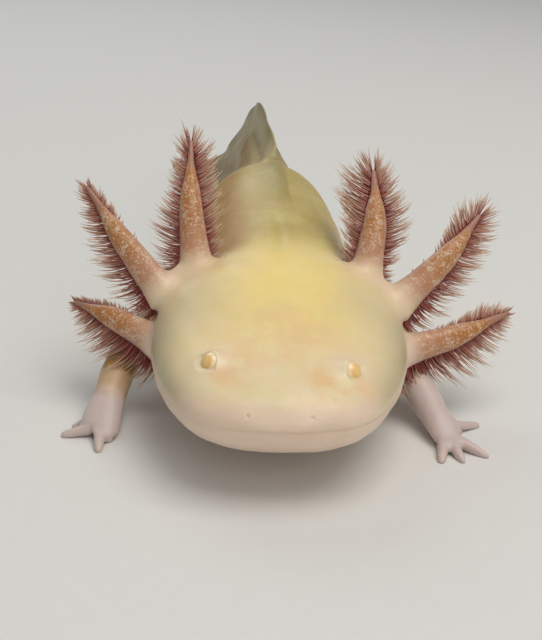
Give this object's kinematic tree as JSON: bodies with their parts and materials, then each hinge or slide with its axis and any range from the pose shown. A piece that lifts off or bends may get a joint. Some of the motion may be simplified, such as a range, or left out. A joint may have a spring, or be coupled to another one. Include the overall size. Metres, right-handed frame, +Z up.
{
  "type": "axolotl model",
  "caption": "Life-size golden albino axolotl standing on its feet, head low and facing forwards, feathery gills spread, tail curving back to the ground.",
  "frame": {"origin": "on the ground under the middle of the model's footprint", "axes": "+Y runs from the snout back to the tail, +X to the animal's left, +Z up from the ground"},
  "size_m": [0.0842, 0.198, 0.0486],
  "materials": {
    "skin": "moist satin skin, golden yellow on the back fading to cream and pale pink on the snout, jaw and belly",
    "limb": "moist translucent pale pink skin",
    "fin": "thin translucent greenish tan membrane",
    "gill_stalk": "salmon orange with pale gold and silver flecks",
    "gill_filament": "dark crimson at the root, brownish pink and translucent at the tip",
    "eye": "wet, amber orange pupil in a pale gold ring"
  },
  "bodies": {
    "root": {"head": "skin", "lower_jaw": "skin", "eye_left": "eye", "eye_right": "eye", "neck": "skin", "trunk_front": "skin", "trunk_rear": "skin", "tail_root": "skin", "tail_middle": "skin", "tail_tip": "skin", "back_fin": "fin", "tail_fin_upper": "fin", "tail_fin_lower": "fin", "gill_stalk_left_upper": "gill_stalk", "gill_stalk_left_middle": "gill_stalk", "gill_stalk_left_lower": "gill_stalk", "gill_stalk_right_upper": "gill_stalk", "gill_stalk_right_middle": "gill_stalk", "gill_stalk_right_lower": "gill_stalk", "gill_fringe_left_upper": "gill_filament", "gill_fringe_left_middle": "gill_filament", "gill_fringe_left_lower": "gill_filament", "gill_fringe_right_upper": "gill_filament", "gill_fringe_right_middle": "gill_filament", "gill_fringe_right_lower": "gill_filament", "upper_arm_left": "skin", "forearm_left": "limb", "hand_left": "limb", "upper_arm_right": "skin", "forearm_right": "limb", "hand_right": "limb", "thigh_left": "skin", "shank_left": "limb", "foot_left": "limb", "thigh_right": "skin", "shank_right": "limb", "foot_right": "limb"}
  },
  "joints": []
}
